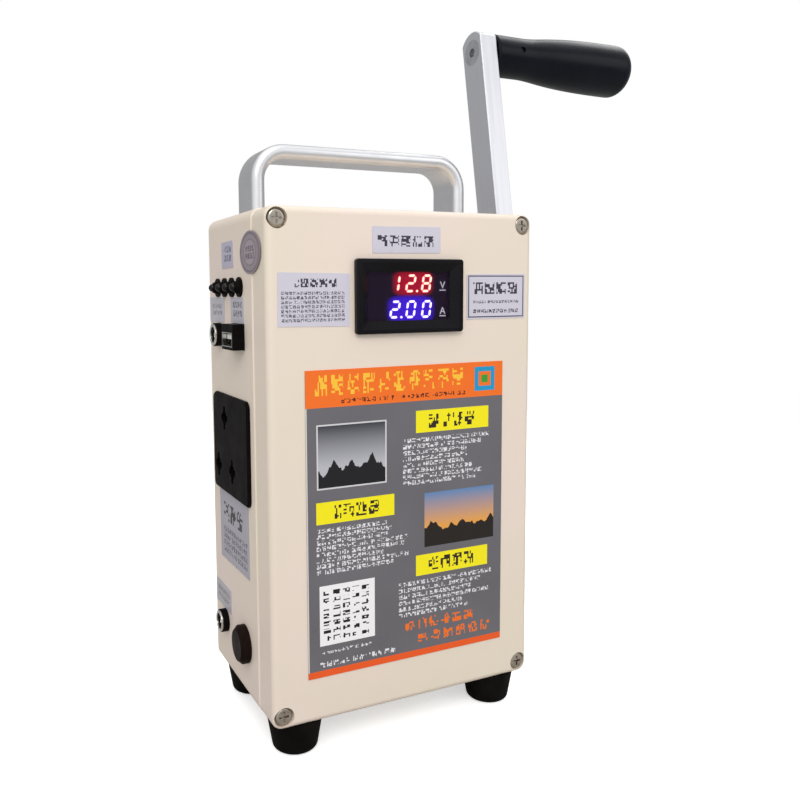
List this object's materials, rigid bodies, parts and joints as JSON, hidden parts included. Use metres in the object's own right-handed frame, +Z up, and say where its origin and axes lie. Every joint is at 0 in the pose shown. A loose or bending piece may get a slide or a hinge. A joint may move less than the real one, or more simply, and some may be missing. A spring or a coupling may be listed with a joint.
{
  "type": "hand crank generator",
  "caption": "Portable box on rubber feet with a carry handle, a side crank with a revolving grip, a panel meter and power sockets on its side.",
  "frame": {"origin": "on the floor, midway between the four feet", "axes": "+X towards the crank side, +Y towards the back, +Z up; the front with the meter faces -Y"},
  "size_m": [0.2307, 0.0775, 0.3096],
  "materials": {
    "case_plastic": "fine moulded texture",
    "seal_rubber": "matt",
    "foot_rubber": "matt",
    "brass": "turned",
    "nickel_steel": "nickel plated",
    "handle_aluminium": "satin anodised",
    "arm_aluminium": "extruded, satin",
    "meter_plastic": "gloss black",
    "smoked_window": "smoked clear",
    "red_digits": "lit red",
    "blue_digits": "lit blue",
    "pale_plastic": "natural nylon",
    "black_plastic": "satin black",
    "lamp_resin": "dark tinted resin",
    "button_plastic": "satin black-brown",
    "spring_steel": "drawn wire",
    "grip_plastic": "semi-gloss black",
    "dark_steel": "zinc plated",
    "shaft_steel": "ground",
    "gear_steel": "hobbed, oiled",
    "plate_aluminium": "milled",
    "core_iron": "laminated",
    "copper_wire": "enamelled copper",
    "magnet_ferrite": "ground",
    "board_laminate": "green solder mask",
    "capacitor_sleeve": "blue sleeve",
    "printed_label": "laminated print",
    "small_label": "laminated print"
  },
  "bodies": {
    "case": {"front_cover": "case_plastic", "rear_housing": "case_plastic", "cover_gasket": "seal_rubber", "rubber_feet": "foot_rubber", "insert_nuts": "brass", "socket_contacts": "brass", "jack_pins": "brass", "cover_screws": "nickel_steel", "handle_screws": "nickel_steel", "foot_screws": "nickel_steel", "foot_nuts": "nickel_steel", "jack_nuts": "nickel_steel", "jack_rings": "nickel_steel", "usb_shell": "nickel_steel", "carry_handle": "handle_aluminium", "meter_housing": "meter_plastic", "meter_display": "meter_plastic", "meter_window": "smoked_window", "volt_digits": "red_digits", "amp_digits": "blue_digits", "usb_tongue": "pale_plastic", "lamp_bezels": "black_plastic", "usb_housing": "black_plastic", "jack_bodies": "black_plastic", "socket_face": "black_plastic", "socket_back": "black_plastic", "button_nut": "black_plastic", "button_switch": "black_plastic", "shaft_bush": "black_plastic", "lamps": "lamp_resin", "button_bezel": "button_plastic", "button_spring": "spring_steel", "plate_screws": "dark_steel", "generator_screws": "dark_steel", "idler_pin": "shaft_steel", "shaft_bearings": "shaft_steel", "generator_can": "shaft_steel", "generator_cap": "shaft_steel", "gear_plates": "plate_aluminium", "plate_spacers": "plate_aluminium", "stator_core": "core_iron", "transformer": "core_iron", "stator_coils": "copper_wire", "circuit_boards": "board_laminate", "supercapacitors": "capacitor_sleeve", "info_label": "printed_label", "small_labels": "small_label"},
    "crank": {"crank_shaft": "shaft_steel", "crank_gear": "gear_steel", "crank_spacer": "black_plastic", "crank_arm": "arm_aluminium", "arm_screw": "dark_steel", "grip_spindle": "dark_steel"},
    "grip": {"hand_grip": "grip_plastic", "grip_set_screw": "dark_steel"},
    "idler": {"idler_gear": "gear_steel"},
    "rotor": {"rotor_shaft": "shaft_steel", "rotor_magnet": "magnet_ferrite", "rotor_pinion": "gear_steel"},
    "button": {"button_plunger": "button_plastic"}
  },
  "joints": [
    {"name": "crank_turn", "type": "hinge", "parent": "case", "child": "crank", "pos_m": [0.07, 0, 0.1635], "axis": [1, 0, 0], "continuous": true},
    {"name": "idler_turn", "type": "hinge", "parent": "case", "child": "idler", "pos_m": [0.0345, 0, 0.1275], "axis": [1, 0, 0], "continuous": true},
    {"name": "rotor_turn", "type": "hinge", "parent": "case", "child": "rotor", "pos_m": [0.0345, 0, 0.0915], "axis": [1, 0, 0], "continuous": true},
    {"name": "grip_spin", "type": "hinge", "parent": "crank", "child": "grip", "pos_m": [0.0797, 0.02251, 0.29661], "axis": [1, 0, 0], "continuous": true},
    {"name": "button_press", "type": "slide", "parent": "case", "child": "button", "axis": [1, 0, 0], "range_m": [0, 0.002], "stiffness_N_per_m": 600, "springref_m": -0.001, "deforming": ["button_spring"]}
  ],
  "couplings": [
    {"joint": "idler_turn", "follows": "crank_turn", "ratio": -3},
    {"joint": "rotor_turn", "follows": "crank_turn", "ratio": 9}
  ]
}
